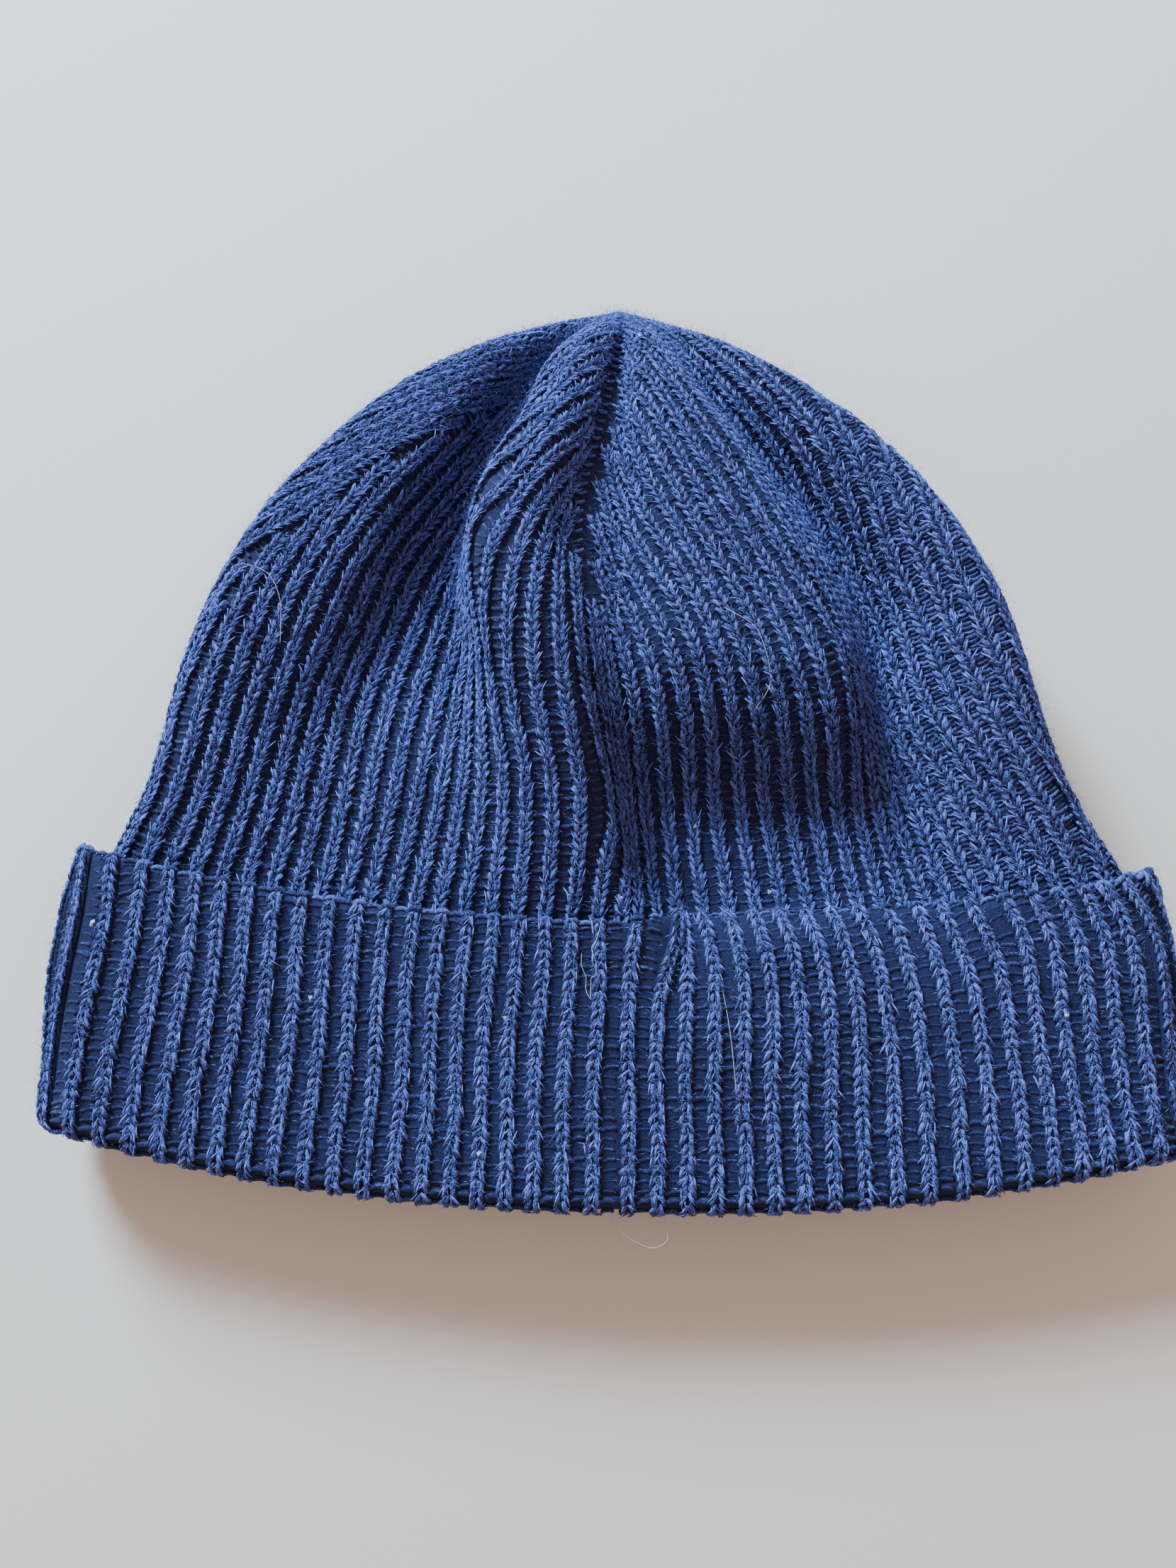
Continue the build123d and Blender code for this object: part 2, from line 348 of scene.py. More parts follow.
def straighten(shares):
    """How far round to move a line so that it runs straighter up the hat, as real wales do
    where a fold takes more cloth than its neighbours."""
    across = on_rings(RINGS, shares)[:, 0]
    reach = 3 * EVEN_OUT
    bell = np.exp(-0.5 * (np.arange(-reach, reach + 1) / EVEN_OUT) ** 2)
    even = np.convolve(np.pad(across, reach, mode="reflect", reflect_type="odd"),
                       bell / bell.sum(), "valid")
    facing = unit(on_rings(NORMALS, shares))[:, 2]
    away_from_ends = smoothstep(FOLD_V + 4, FOLD_V + 30, STATIONS) * smoothstep(99, 80, STATIONS)
    return np.clip(even - across, -6, 6) * facing * away_from_ends / LENGTHS


def on_rings(field, shares):
    """The value of a field of the rings at those shares of the way round, one for each ring."""
    at = (shares % 1.0) * RING_POINTS
    low = np.floor(at).astype(int) % RING_POINTS
    high = (low + 1) % RING_POINTS
    part = (at - np.floor(at))[:, None]
    rows = np.arange(len(field))
    return field[rows, low] * (1 - part) + field[rows, high] * part


def on_fabric(shares):
    """Points and normals at those shares of the way round, one for each ring."""
    return on_rings(RINGS, shares), unit(on_rings(NORMALS, shares))


def wale_on_body(q):
    """Points and normals for the line at q, from the fold up to where a dart takes it in."""
    shares, alive = ring_shares(q)
    last = len(alive) if alive.all() else int(np.argmin(alive))
    points, normals = on_fabric(shares)
    return points[:last], normals[:last]


CUFF_ROWS = int(np.searchsorted(STATIONS, HEM_V))
CREASE_X = 22.0          # the cuff's crease near its middle
CREASE_DEPTH = 1.0
CREASE_WIDTH = 8.0
BRIDGE_X = 36.0          # the hollow of the body that the cuff bridges
BRIDGE_LIFT = 3.2
BRIDGE_WIDTH = 22.0
SIDE_FLARE = 2.8


def cuff_wave(points, normals):
    """How far the cuff stands off the body under it: soft waves, a crease near the middle, a
    bridge over the hollow, and a flare at the two sides."""
    x = points[:, 0]
    y = points[:, 1]
    wave = 0.7 * np.sin(x / 19 + 0.6) + 0.45 * np.sin(x / 8.3 + y / 31)
    beside = (x - CREASE_X - 0.12 * (y - HEM_V)) / CREASE_WIDTH
    crease = CREASE_DEPTH * np.exp(-(beside ** 2)) * smoothstep(-68, -46, y)
    flare = SIDE_FLARE * normals[:, 0] ** 2 * smoothstep(-88, -56, y)
    bridge = BRIDGE_LIFT * np.exp(-(((x - BRIDGE_X) / BRIDGE_WIDTH) ** 2)) * smoothstep(-64, -48, y)
    wave = (wave + bridge) * smoothstep(-98, -70, y)
    return (wave - crease) * smoothstep(9, 15, points[:, 2]) + flare


def cuff_path(q):
    """The middle of the cloth at q, from 26 mm inside the mouth, down, round the fold and up to
    the hem. Gives points, the way out of face B (which shows on the cuff), and each point's
    stage: under 0 inside, 0 to 1 round the fold, over 1 on the cuff."""
    shares, _ = ring_shares(q)
    points, normals = (field[:CUFF_ROWS] for field in on_fabric(shares))
    upward = unit(np.gradient(points, axis=0))
    straight_up = np.full(len(STATIONS), shares[0])
    cuff_base, cuff_out = (field[:CUFF_ROWS] for field in on_fabric(straight_up))
    inside = slice(MOUTH_ROWS, 0, -1)
    centre = points[0] + normals[0] * PLY_STEP / 2
    turn = np.linspace(0, math.pi, FOLD_ROWS)[:, None]
    inward = normals[0] * np.cos(turn) + upward[0] * np.sin(turn)
    fold_points = centre - inward * PLY_STEP / 2
    lift = PLY_STEP + cuff_wave(cuff_base, cuff_out)
    sway = 0.5 * np.sin(cuff_base[:, 1] / 9 + 0.4 * q) * smoothstep(-98, -80, cuff_base[:, 1])
    side = unit(np.cross(upward, cuff_out))
    cuff_points = cuff_base + cuff_out * lift[:, None] + side * sway[:, None]
    path = np.concatenate([points[inside], fold_points, cuff_points[1:]])
    out = np.concatenate([-normals[inside], -inward, cuff_out[1:]])
    stage = np.concatenate([np.linspace(-1, -0.06, MOUTH_ROWS), np.linspace(0, 1, FOLD_ROWS),
                            np.linspace(1.02, 2, CUFF_ROWS - 1)])
    return path, unit(out), stage


def cuff_line(q, stages):
    """The part of the path at q between two stages: points, and the way out of face B."""
    path, out, stage = cuff_path(q)
    keep = (stage >= stages[0] - 1e-6) & (stage <= stages[1] + 1e-6)
    return path[keep], out[keep]


def spaced(points, normals, step):
    """Spots a step apart along a line: their places, and their own ways across, along and out."""
    along = length_along(points)
    at = np.arange(step / 2, along[-1], step)
    place, out, ahead = (
        np.stack([np.interp(at, along, field[:, i]) for i in range(3)], axis=1)
        for field in (points, normals, np.gradient(points, axis=0)))
    out = unit(out)
    ahead = unit(ahead - out * (ahead * out).sum(axis=1, keepdims=True))
    return place, np.cross(ahead, out), ahead, out


def some(spots, chosen):
    """Those of the spots that are chosen."""
    return [field[chosen] for field in spots]


# ---- meshes ----
class Cloth:
    """Points and faces that grow into one mesh, with a shade for each point."""

    def __init__(self):
        self.points = []
        self.quads = [np.zeros((0, 4), int)]
        self.triangles = [np.zeros((0, 3), int)]
        self.shades = []
        self.count = 0

    def add(self, points, shade, quads=(), triangles=()):
        points = np.asarray(points, float).reshape(-1, 3)
        self.points.append(points)
        self.shades.append(np.broadcast_to(shade, len(points)))
        if len(quads):
            self.quads.append(np.asarray(quads) + self.count)
        if len(triangles):
            self.triangles.append(np.asarray(triangles) + self.count)
        self.count += len(points)


def add_atlas(mesh, sizes):
    """A small square of the map for each face, with a margin round it."""
    side = math.ceil(math.sqrt(len(sizes)))
    face = np.repeat(np.arange(len(sizes)), sizes)
    corner = np.concatenate([np.tile(np.arange(size), (sizes == size).sum()) for size in (4, 3)])
    square = np.array([[0.1, 0.1], [0.9, 0.1], [0.9, 0.9], [0.1, 0.9]])
    places = (np.stack([face % side, face // side], axis=1) + square[corner]) / side
    mesh.uv_layers.new(name="OFBake").data.foreach_set("uv", places.astype(np.float32).ravel())


def add_piece(name, cloth, material, body="hat_body"):
    """Makes the mesh, in metres, and says which body it rides on, if it is given one."""
    points = np.concatenate(cloth.points)
    quads = np.concatenate(cloth.quads)
    triangles = np.concatenate(cloth.triangles)
    corners = np.concatenate([quads.ravel(), triangles.ravel()]).astype(np.int32)
    sizes = np.concatenate([np.full(len(quads), 4), np.full(len(triangles), 3)])
    starts = np.concatenate([[0], np.cumsum(sizes)[:-1]]).astype(np.int32)
    mesh = bpy.data.meshes.new(name)
    mesh.vertices.add(len(points))
    mesh.vertices.foreach_set("co", (points / 1000).astype(np.float32).ravel())
    mesh.loops.add(len(corners))
    mesh.loops.foreach_set("vertex_index", corners)
    mesh.polygons.add(len(sizes))
    mesh.polygons.foreach_set("loop_start", starts)
    mesh.update(calc_edges=True)
    mesh.polygons.foreach_set("use_smooth", np.ones(len(sizes), bool))
    add_atlas(mesh, sizes)
    shade = mesh.attributes.new("shade", "FLOAT", "POINT")
    shade.data.foreach_set("value", np.concatenate(cloth.shades).astype(np.float32))
    mesh.materials.append(material)
    piece = bpy.data.objects.new(name, mesh)
    bpy.context.scene.collection.objects.link(piece)
    if body:
        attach(piece, body)
    return piece


TAPERED = 0.45           # share of a tube's width that is left at its ends


def grid_faces(rows, columns, closed):
    """Faces of a grid of points, row by row; closed joins the last column to the first."""
    across = columns if closed else columns - 1
    row, column = np.meshgrid(np.arange(rows - 1), np.arange(across), indexing="ij")
    here = row * columns + column
    beside = row * columns + (column + 1) % columns
    return np.stack([here, beside, beside + columns, here + columns], axis=-1).reshape(-1, 4)


def rim(here, there, size):
    """Faces that join an edge of one face of a cloth to the same edge of its other face."""
    return np.stack([here, there, there + size, here + size], axis=1)


def fan(ring, tip, turned=False):
    """Triangles that close a ring of points with the point at its tip."""
    beside = np.roll(ring, -1)
    first, second = (beside, ring) if turned else (ring, beside)
    return np.stack([np.full(len(ring), tip), first, second], axis=1)


def add_slab(cloth, outer, inner, shade):
    """Cloth with two faces and a rim. outer and inner are grids of points, row by row."""
    rows, columns = outer.shape[:2]
    size = rows * columns
    faces = grid_faces(rows, columns, False)
    mouth = np.arange(columns - 1)
    top = mouth + size - columns
    left = np.arange(rows - 1) * columns
    right = left + columns - 1
    quads = [faces, faces[:, ::-1] + size, rim(mouth + 1, mouth, size), rim(top, top + 1, size),
             rim(left, left + columns, size), rim(right + columns, right, size)]
    cloth.add(np.concatenate([outer, inner]), quads=np.concatenate(quads), shade=shade)


def add_tube(cloth, points, across, out, width, height, shade, sides=6, taper=True):
    """A closed tube with an oval section along a line of points."""
    turn = np.arange(sides) * 2 * math.pi / sides
    size = np.ones((len(points), 1, 1))
    if taper:
        size[0] = size[-1] = TAPERED
    wide = across[:, None] * size * (np.cos(turn) * width / 2)[:, None]
    tall = out[:, None] * size * (np.sin(turn) * height / 2)[:, None]
    rings = points[:, None] + wide + tall
    side = np.arange(sides)
    count = len(points) * sides
    caps = [fan(side, count, True), fan(side + count - sides, count + 1)]
    cloth.add(np.concatenate([rings.reshape(-1, 3), points[[0, -1]]]),
              quads=grid_faces(len(points), sides, True), triangles=np.concatenate(caps),
              shade=shade)


def stroke_template(across, along, out, radii, sides):
    """A short fat yarn stroke: rings of points round a bent centre line, closed at both ends."""
    centre = np.stack([across, along, out], axis=1)
    heading = unit(np.gradient(centre, axis=0))
    side = unit(np.cross(heading, UP))
    up = np.cross(side, heading)
    turn = np.arange(sides) * 2 * math.pi / sides
    round_it = side[:, None] * np.cos(turn)[:, None] + up[:, None] * np.sin(turn)[:, None]
    points = centre[:, None] + round_it * np.asarray(radii)[:, None, None]
    last = (len(centre) - 1) * sides
    caps = []
    for i in range(1, sides - 1):
        caps += [[0, i + 1, i], [last, last + i, last + i + 1]]
    return points.reshape(-1, 3), grid_faces(len(centre), sides, True), np.array(caps)


def stamp(cloth, template, place, across, along, out, shade, scale):
    """Copies a template to every place, turned to that place's own axes."""
    points, quads, triangles = template
    count = len(place)
    local = points * np.broadcast_to(scale, count)[:, None, None]
    moved = (place[:, None] + across[:, None] * local[..., :1]
             + along[:, None] * local[..., 1:2] + out[:, None] * local[..., 2:])
    step = np.arange(count)[:, None, None] * len(points)
    cloth.add(moved, quads=(quads + step).reshape(-1, 4),
              triangles=(triangles + step).reshape(-1, 3),
              shade=np.repeat(np.broadcast_to(shade, count), len(points)))


LEG_START = 0.38         # from a stitch's middle line to where its legs start
LEG_RADIUS = 0.40        # of a leg's yarn at its thickest


def leg_template(direction, detail):
    """One leg of a stitch's V: it leaves the middle low down and leans out as it rises."""
    t = np.linspace(0, 1, detail + 1)
    across = direction * (LEG_START + 0.76 * t**0.9)
    along = COURSE * (-0.62 + 1.24 * t)
    out = 0.50 * np.sin(math.pi * (0.1 + 0.8 * t)) - 0.22
    radii = LEG_RADIUS * np.interp(t, [0, 0.3, 0.7, 1], [0.6, 1.0, 1.0, 0.7])
    return stroke_template(across, along, out, radii, 4)


def ply_template(direction):
    """One loose ply of a leg's yarn, on top of the leg."""
    t = np.linspace(0, 1, 3)
    across = direction * (LEG_START + 0.80 * t)
    along = COURSE * (-0.52 + 1.04 * t)
    out = 0.34 * np.sin(math.pi * (0.1 + 0.8 * t)) + 0.08
    return stroke_template(across, along, out, [0.07, 0.14, 0.06], 3)


def bump_template():
    """A purl stitch's head in the valley between two knit columns."""
    t = np.linspace(-1, 1, 4)
    return stroke_template(1.35 * t, 0.25 * np.abs(t), 0.30 * t**2, [0.30, 0.48, 0.48, 0.30], 4)


FINE_LEGS = [leg_template(-1, 3), leg_template(1, 3)]
PLAIN_LEGS = [leg_template(-1, 2), leg_template(1, 2)]
PLIES = [ply_template(-1), ply_template(1)]
PURL = bump_template()
PLY_PLACES = (-0.36, -0.12, 0.14, 0.40)
BRIGHT_SHARE = 0.45      # of the loose plies catch the light
BRIGHT_PLY = 1.3         # their shade, and the others'
DARK_PLY = 0.05
OPEN_RIB = 0.25          # slack past which bars show between a valley's stitches too
LEG_HEIGHT = 1.22        # of a stitch's strokes above the middle of the cloth
PURL_HEIGHT = 0.30       # of a purl row above the middle of the cloth
FOLD_PURL_HEIGHT = 0.80  # of a purl row where the fold's bend pulls the rib shallow
chance = np.random.default_rng(SEED)


def slack(place):
    """How far the rib is pulled open: the right band lies stretched, the cuff's right a little."""
    x = place[:, 0]
    y = place[:, 1]
    band = 0.8 * smoothstep(52, 74, x + 0.35 * np.maximum(y, 0)) * smoothstep(-50, -25, y)
    cuff = smoothstep(24, 34, x) * smoothstep(62, 48, x) + smoothstep(85, 100, x)
    sides = smoothstep(8, 13, place[:, 2]) + smoothstep(78, 84, x) * (y > -40)
    return np.where(y > -40, band, 0.2 * cuff) * np.minimum(sides, 1)


def add_stitches(cloth, spots, legs):
    """A V for every spot, each a little off the regular, as hand-worn knitting is."""
    place, across, along, out = spots
    count = len(place)
    wander = chance.normal(0, 0.12, (count, 3))
    place = place + out * LEG_HEIGHT + across * wander[:, :1] + along * wander[:, 1:2]
    for leg in legs:
        tilt = chance.normal(0, 0.15, (count, 2))
        turned = unit(along + across * tilt[:, :1] + out * tilt[:, 1:] * 0.6)
        beside = np.cross(turned, out) * (1 + 0.30 * slack(place))[:, None]
        stamp(cloth, leg, place, beside, turned, out, chance.uniform(-0.2, 0.5, count),
              1 + chance.normal(0, 0.10, count))


def add_plies(cloth, spots):
    """Four loose plies on each leg of every stitch, some dark and some bright."""
    place, across, along, out = spots
    count = len(place)
    for ply in PLIES:
        for beside in PLY_PLACES:
            wander = chance.normal(0, 0.13, (count, 3))
            tilt = chance.normal(0, 0.30, (count, 2))
            turned = unit(along + across * tilt[:, :1] + out * tilt[:, 1:] * 0.5)
            side = np.cross(turned, out) * (1 + 0.35 * slack(place))[:, None]
            start = (place + out * (LEG_HEIGHT + 0.5 * wander[:, 2:])
                     + across * (beside + wander[:, :1]) + along * wander[:, 1:2])
            bright = np.where(chance.random(count) < BRIGHT_SHARE, BRIGHT_PLY, DARK_PLY)
            stamp(cloth, ply, start, side, turned, out, bright + chance.normal(0, 0.25, count),
                  1 + chance.normal(0, 0.20, count))


def add_purls(cloth, spots, height=PURL_HEIGHT):
    """A bar for each stitch in a valley, and more between them where the rib is pulled open."""
    place, across, along, out = spots
    more = some((place + along * COURSE / 2, across, along, out), slack(place) > OPEN_RIB)
    place, across, along, out = (np.concatenate(pair) for pair in zip(spots, more))
    count = len(place)
    pulled = slack(place)
    lift = height + chance.normal(0, 0.08, (count, 1)) + 0.30 * pulled[:, None]
    tilt = chance.normal(0, 0.12, (count, 1))
    turned = unit(across + along * tilt)
    # Painted shade: the bars get a darker colour than the knit stitches, as the valleys lie in
    # shade, and less dark where the rib is pulled open.
    stamp(cloth, PURL, place + out * lift, turned, np.cross(out, turned), out,
          chance.uniform(-1.1, -0.3, count) + 0.7 * pulled, 1 + chance.normal(0, 0.12, count))


# ---- materials ----
GRAIN_WEIGHT = 4.0       # of the fibre grain in a yarn's brightness, beside its shade
CLOUD_WEIGHT = 0.6


def set_inputs(tree, node, values):
    """Sets a node's inputs, each to a value or to what another node gives."""
    for place, value in values.items():
        if isinstance(value, bpy.types.NodeSocket):
            tree.links.new(value, node.inputs[place])
        else:
            node.inputs[place].default_value = value
    return node


def add_node(tree, kind, values):
    """A new node of that kind, with its inputs set."""
    return set_inputs(tree, tree.nodes.new(f"ShaderNode{kind}"), values)


def weighted(tree, value, weight, rest):
    """A value times its weight, added to the rest."""
    node = add_node(tree, "Math", {0: value, 1: weight, 2: rest})
    node.operation = "MULTIPLY_ADD"
    return node.outputs[0]


def wool(name, deep, light, fuzz):
    """Brushed wool yarn: cloudy colour, painted shade in the valleys, a fine fibre grain and sheen.
    """
    material = bpy.data.materials.new(name)
    material.use_nodes = True
    tree = material.node_tree
    place = add_node(tree, "TexCoord", {}).outputs["Object"]
    shade = add_node(tree, "Attribute", {})
    shade.attribute_name = "shade"
    cloud = add_node(tree, "TexNoise", {"Vector": place, "Scale": 55.0, "Detail": 3.0})
    fibre = add_node(tree, "TexNoise", {"Vector": place, "Scale": 2100.0, "Detail": 4.0,
                                        "Roughness": 0.7})
    grain = fibre.outputs["Fac"]
    brightness = weighted(tree, grain, GRAIN_WEIGHT, shade.outputs["Fac"])
    brightness = weighted(tree, cloud.outputs["Fac"], CLOUD_WEIGHT, brightness)
    spread = add_node(tree, "MapRange", {"Value": brightness, "From Min": 1.6, "From Max": 3.75})
    ramp = add_node(tree, "ValToRGB", {"Fac": spread.outputs["Result"]})
    for stop, position, colour in zip(ramp.color_ramp.elements, (0.12, 0.9), (deep, light)):
        stop.position = position
        stop.color = (*colour, 1)
    rough = add_node(tree, "MapRange", {"Value": grain, "To Min": 0.80, "To Max": 0.98})
    bump = add_node(tree, "Bump", {"Height": grain, "Strength": 0.9, "Distance": 0.0004})
    set_inputs(tree, tree.nodes["Principled BSDF"], {
        "Base Color": ramp.outputs["Color"], "Roughness": rough.outputs["Result"],
        "Normal": bump.outputs["Normal"], "Sheen Weight": fuzz, "Sheen Roughness": 0.45,
        "Sheen Tint": (0.45, 0.62, 1.0, 1), "Specular IOR Level": 0.2})
    return material


YARN = wool("navy_yarn", (0.012, 0.016, 0.075), (0.150, 0.225, 0.780), fuzz=0.15)
# Painted shade: the ground between and under the knit columns is the same navy yarn, given a far
# darker colour so that the valleys look shaded.
GROUND_PAINTED_SHADE = wool("navy_ground_painted_shade", (0.006, 0.008, 0.036), (0.016, 0.023, 0.095), fuzz=0.05)
HALO = wool("navy_halo", (0.025, 0.038, 0.160), (0.160, 0.235, 0.720), fuzz=0.15)
SEAM = wool("seam_yarn", (0.009, 0.012, 0.050), (0.060, 0.095, 0.350), fuzz=0.2)
HAIR = wool("pale_hair", (0.26, 0.36, 0.50), (0.60, 0.72, 0.90), fuzz=0.2)

# What each kind of part is made of: the padding in the ribs (the ground's colour, with painted
# shade), stitches, valleys and loose plies.
KINDS = {"ribs": GROUND_PAINTED_SHADE, "stitches": YARN, "purls": YARN, "plies": YARN}


# ---- the body ----
def body_cloth():
    """The ground of the body: one closed tube of cloth, drawn shut at the crown."""
    middle = RINGS[:, ::3]
    out = NORMALS[:, ::3] * HALF_SHEET
    rows, width = middle.shape[:2]
    size = rows * width
    outer = middle + out
    inner = middle - out
    mouth = np.arange(width)
    top = mouth + size - width
    faces = grid_faces(rows, width, True)
    quads = [faces, faces[:, ::-1] + size, rim(np.roll(mouth, -1), mouth, size)]
    tips = [outer[-1].mean(axis=0) + [0, 0.9, 0], inner[-1].mean(axis=0) + [0, 0.1, 0]]
    caps = [fan(top, 2 * size), fan(top + size, 2 * size + 1, True)]
    cloth = Cloth()
    cloth.add(np.concatenate([outer.reshape(-1, 3), inner.reshape(-1, 3), tips]),
              quads=np.concatenate(quads), triangles=np.concatenate(caps), shade=0.15)
    return cloth


def quarter_name(q):
    """Which side of the hat a wale belongs to, by the dart before it."""
    return ["front_right", "back_right", "back_left", "front_left"][int(q // QUARTER) % DARTS]


def body_wales():
    """The ribs, stitches, purl rows and loose plies outside the body, in four quarters."""
    quarters = {}
    for i in range(WALES):
        parts = quarters.setdefault(quarter_name(i), {kind: Cloth() for kind in KINDS})
        points, normals = wale_on_body(i + 0.5)
        place, across, _, out = spaced(points, normals, RIB_STEP)
        add_tube(parts["ribs"], place + out * RIB_RISE, across, out, *RIB_SIZE, shade=0.2)
        spots = spaced(points, normals, COURSE)
        hidden = spots[0][:, 1] < HEM_V - 6
        add_stitches(parts["stitches"], some(spots, hidden), PLAIN_LEGS)
        add_stitches(parts["stitches"], some(spots, ~hidden), FINE_LEGS)
        add_plies(parts["plies"], some(spots, ~hidden))
        points, normals = wale_on_body(i)
        if len(points) > 5:
            add_purls(parts["purls"], spaced(points, normals, COURSE))
    return quarters


# ---- the cuff and its fold ----
CUFF = (1.0, 2.0)        # stages of the cuff's path
FOLD = (0.0, 1.0)
MOUTH = (-1.0, -0.03)
FLAT_ANGLE = 6.0         # degrees a wale may lean from straight up or down and still be flat
HAIR_BREADTH = 0.02      # of the fold's crossing from the body to the cuff
FLAT_REACH = 0.48        # from the hinge to the first of the two places where a flat run of the fold passes to the cuff
HEM_POINTS = 6           # on each arch of the hem


def wale_angle(q):
    """Which way the mouth faces at q, by its first eight rings: 0 up, 90 right, 180 down, -90
    left."""
    normal = on_fabric(ring_shares(q)[0])[1][:8].mean(axis=0)
    return math.degrees(math.atan2(normal[0], normal[2]))


def sector_of(angle):
    if abs(angle) < 45:
        return "front"
    if abs(angle) > 135:
        return "back"
    return "right" if angle > 0 else "left"


def cuff_groups():
    """The cuff's wales by sector, and for the fold's pieces: one run for each flat face, and
    every wale by itself round the hat's two ends."""
    sectors = {}
    folds = {}
    for i in range(WALES):
        angle = wale_angle(i)
        sector = sector_of(angle)
        sectors.setdefault(sector, []).append(i)
        is_flat = min(abs(angle), 180 - abs(angle)) < FLAT_ANGLE
        folds.setdefault((sector, "flat" if is_flat else f"end_{i}"), []).append(i)
    return sectors, folds


def in_order(wales):
    """Wales of one run in order round the hat, where the run may cross the front dart."""
    wales = sorted(wales)
    for gap in range(1, len(wales)):
        if wales[gap] - wales[gap - 1] > 1:
            return wales[gap:] + wales[:gap]
    return wales


def cuff_slab(cloth, wales, stages):
    """Ground cloth for a run of wales, between two stages of the path."""
    lines = [cuff_line(wales[0] + (step - 1) / 2, stages) for step in range(2 * len(wales) + 1)]
    middle, out = (np.stack(field, axis=1) for field in zip(*lines))
    add_slab(cloth, middle - out * HALF_SHEET, middle + out * HALF_SHEET, 0.2)


def add_cuff_ribs(ribs, i, stages):
    """The padding under the knit columns: at i on face B, and at i + 0.5 on face A."""
    for q, face in ((i, 1), (i + 0.5, -1)):
        points, normals = cuff_line(q, stages)
        normals = normals * face
        lifted = points + normals * RIB_RISE
        heading = unit(np.gradient(lifted, axis=0))
        size = THIN_RIB_SIZE if face < 0 and stages[0] < 1 else RIB_SIZE
        add_tube(ribs, lifted, np.cross(heading, normals), normals, *size, shade=0.2,
                 taper=not (face > 0 and stages[1] >= 2))


def add_cuff_stitches(i, stages, stitches, purls, fine, plies=None, purl_height=PURL_HEIGHT):
    """One wale's stitches and purl rows: on face B, and where it may show on face A too."""
    faces = (1, -1) if stages[0] >= 1 else (1,)
    for face in faces:
        knit, purl = (i, i + 0.5) if face > 0 else (i + 0.5, i)
        points, normals = cuff_line(knit, stages)
        normals = normals * face
        place, across, along, out = spaced(points + normals * LEG_HEIGHT, normals, COURSE)
        spots = (place - out * LEG_HEIGHT, -across, -along, out)
        add_stitches(stitches, spots, fine if face > 0 else PLAIN_LEGS)
        if face > 0 and plies:
            add_plies(plies, spots)
        points, normals = cuff_line(purl, stages)
        place, across, along, out = spaced(points, normals * face, COURSE)
        add_purls(purls, (place, -across, -along, out), purl_height)


def add_hem(cloth, wales):
    """The cast-on edge: a low arch of yarn over the end of each wale and across each valley."""
    t = np.linspace(-1, 1, HEM_POINTS)[:, None]
    for i in wales:
        for q, lift, size in ((i, 0.7, 0.62), (i + 0.5, 0.1, 0.5)):
            path, out, _ = cuff_path(q)
            heading = unit(path[-1] - path[-3])
            side = np.cross(heading, out[-1])
            arch = path[-1] + side * t * 1.7 + heading * (0.5 - 0.5 * t * t + lift * 0.5)
            arch = arch + out[-1] * (lift * (1 - t * t) + 0.2)
            add_tube(cloth, arch, np.tile(heading, (HEM_POINTS, 1)),
                     np.tile(out[-1], (HEM_POINTS, 1)), size * 2, size * 2.4,
                     shade=chance.uniform(-0.7, 0.3))


def crossing(sector, run, wales):
    """Two places on the fold, in metres, where its cloth passes from the body to the cuff. The fold
    curves away from its straight hinge, so the two places are a hair's breadth apart: spread along
    the bend, the crossing would swell into a hump as the cuff turns down."""
    if run == "flat":
        middle = joint_place("cuff_turn" if sector == "front" else "cuff_turn_back")
        outward = UP if sector == "front" else -UP
        reach = FLAT_REACH
    else:
        path, _, stage = cuff_path(wales[0])
        start = path[np.argmin(np.abs(stage))]
        end = path[np.argmin(np.abs(stage - 1))]
        middle = (start + end) / 2
        outward = unit(end - start)
        reach = HAIR_BREADTH
    places = (middle + outward * reach, middle + outward * (reach + HAIR_BREADTH))
    return [tuple(place / 1000) for place in places]


def add_set(parts, prefix, suffix, body="hat_body"):
    """One piece for each kind of part."""
    return [add_piece(f"{prefix}_{kind}{suffix}", cloth, KINDS[kind], body)
            for kind, cloth in parts.items()]


sectors, folds = cuff_groups()
ground = add_piece("body_cloth", body_cloth(), GROUND_PAINTED_SHADE)
body_parts = []
for quarter, parts in body_wales().items():
    body_parts += add_set(parts, "body", f"_{quarter}")

cuff_parts = {}
for sector, wales in sectors.items():
    wales = in_order(wales)
    body = f"turnup_{sector}"
    slab, hem = Cloth(), Cloth()
    cuff_slab(slab, wales, CUFF)
    add_piece(f"cuff_cloth_{sector}", slab, GROUND_PAINTED_SHADE, body)
    parts = {kind: Cloth() for kind in KINDS}
    for i in wales:
        add_cuff_ribs(parts["ribs"], i, CUFF)
        add_cuff_stitches(i, CUFF, parts["stitches"], parts["purls"], FINE_LEGS, parts["plies"])
    add_hem(hem, wales)
    cuff_parts[sector] = add_set(parts, "cuff", f"_{sector}", body)
    cuff_parts[sector].append(add_piece(f"cuff_hem_{sector}", hem, YARN, body))

